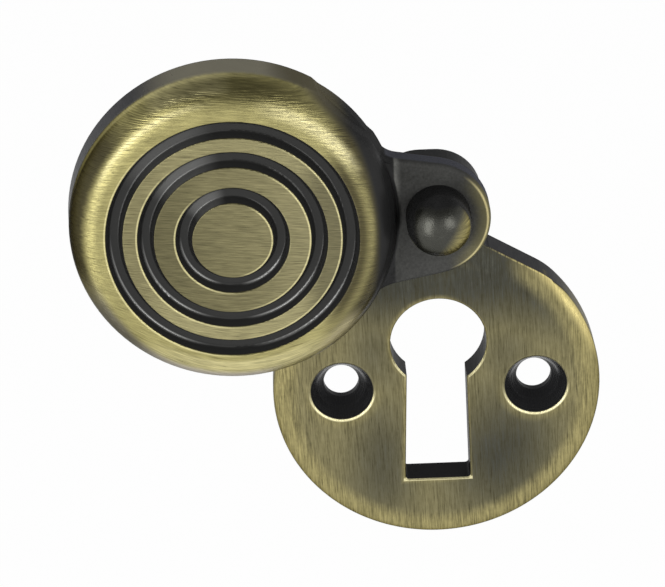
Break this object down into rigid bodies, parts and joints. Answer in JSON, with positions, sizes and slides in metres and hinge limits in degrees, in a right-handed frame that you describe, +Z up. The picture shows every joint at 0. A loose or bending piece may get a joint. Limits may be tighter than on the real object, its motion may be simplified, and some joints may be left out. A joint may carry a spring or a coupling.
{
  "type": "keyhole escutcheon with swing cover",
  "caption": "Round keyhole plate with countersunk screw holes and a ring-turned cover that swings aside on a riveted pivot.",
  "frame": {"origin": "midway between the screw holes, on the back face of the plate", "axes": "+Z up the door, +X to the right seen from the front, +Y into the door; the front faces -Y"},
  "size_m": [0.0514, 0.0108, 0.0521],
  "materials": {
    "plate": "brushed antique",
    "cover": "brushed antique",
    "rivet": "dark patina"
  },
  "bodies": {
    "plate": {"back_plate": "plate", "pivot_rivet": "rivet"},
    "cover": {"swing_cover": "cover"}
  },
  "joints": [
    {"name": "cover_swing", "type": "hinge", "parent": "plate", "child": "cover", "pos_m": [0, -0.0045, 0.01975], "axis": [0, -1, 0], "continuous": true}
  ]
}
